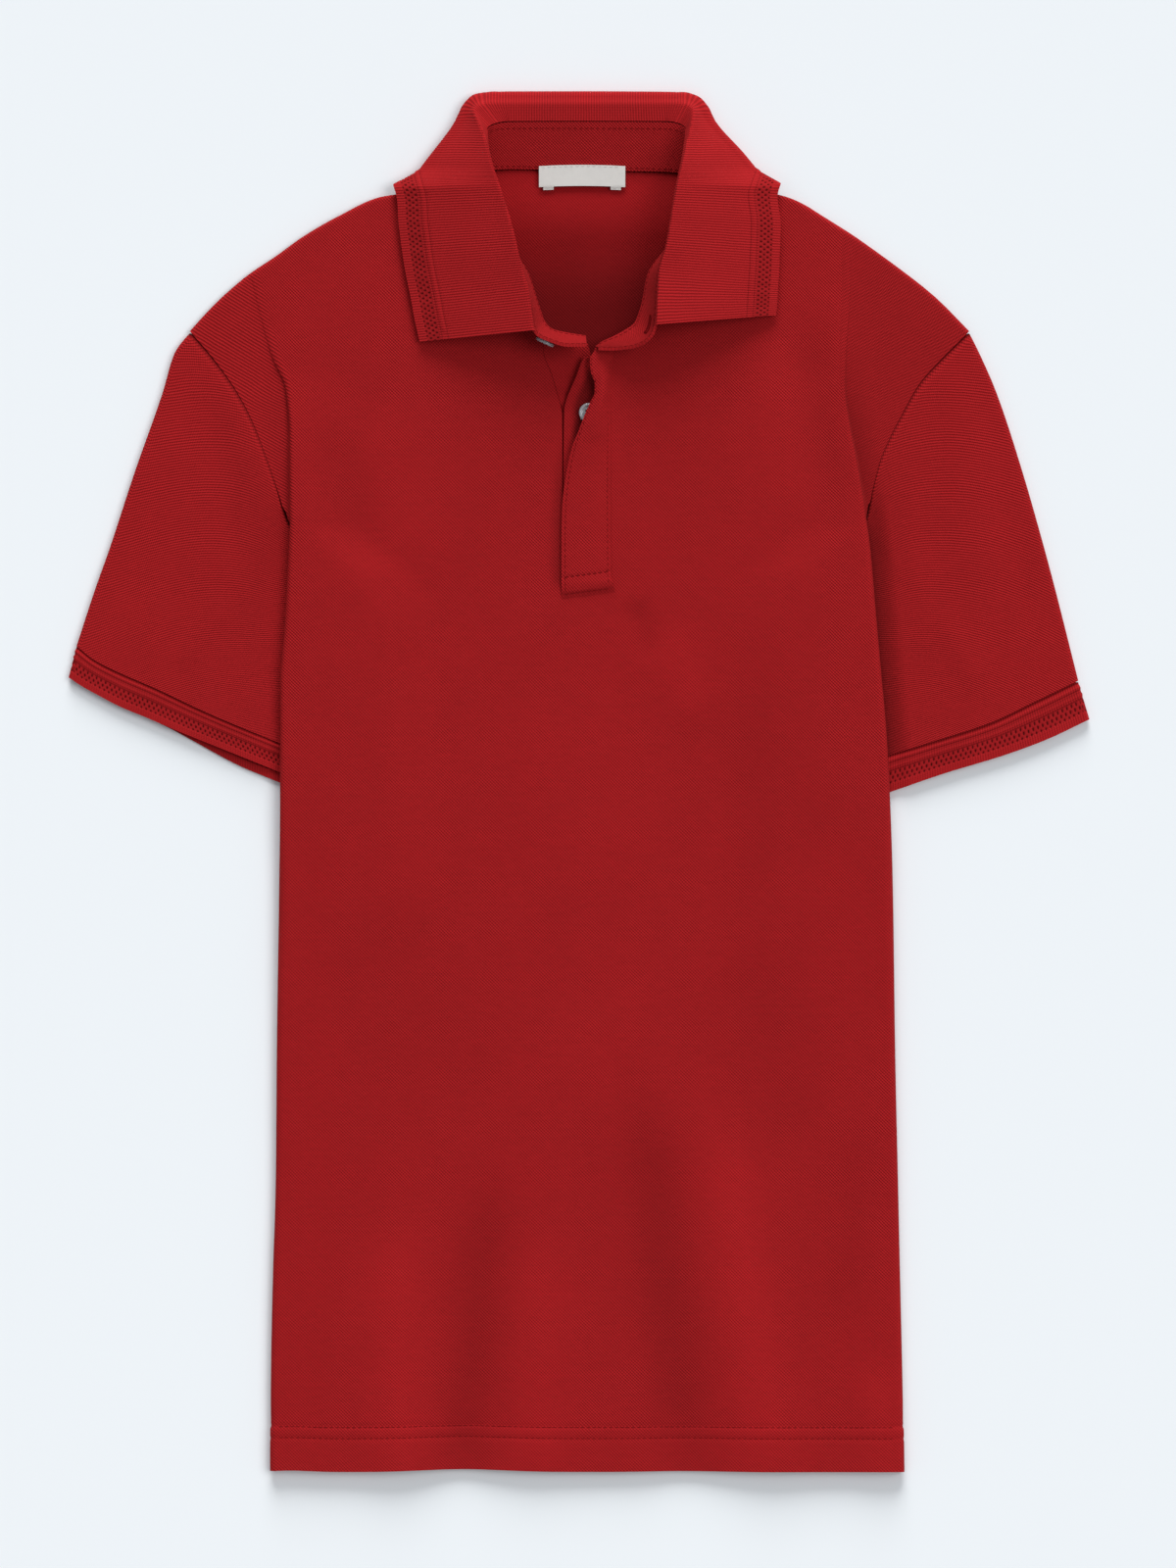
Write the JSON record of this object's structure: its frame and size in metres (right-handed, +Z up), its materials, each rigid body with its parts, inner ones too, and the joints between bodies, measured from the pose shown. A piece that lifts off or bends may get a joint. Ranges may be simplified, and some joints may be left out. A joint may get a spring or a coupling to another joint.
{
  "type": "polo shirt",
  "caption": "Short-sleeved pique polo shirt laid flat face up, with a ribbed fold-over collar, a concealed button placket and ribbed cuffs.",
  "frame": {"origin": "on the surface that the shirt lies on, under the middle of its outline", "axes": "+X to the right of the picture, the wearer's left; +Y from the hem to the collar; +Z up, out of the front of the shirt"},
  "size_m": [0.5916, 0.7998, 0.0307],
  "materials": {
    "pique_red": "matt cotton pique knit",
    "rib_red": "matt rib knit",
    "label_satin": "pale grey satin weave, bare",
    "button_resin": "clear smoky resin, polished"
  },
  "bodies": {
    "root": {"front": "pique_red", "back": "pique_red", "sleeve_left": "pique_red", "sleeve_right": "pique_red", "cuff_left": "rib_red", "cuff_right": "rib_red", "collar_stand": "pique_red", "collar_leaf": "rib_red", "placket_cover": "pique_red", "placket_fly": "pique_red", "placket_under": "pique_red", "button_stand": "button_resin", "button_placket": "button_resin", "neck_label": "label_satin"}
  },
  "joints": []
}
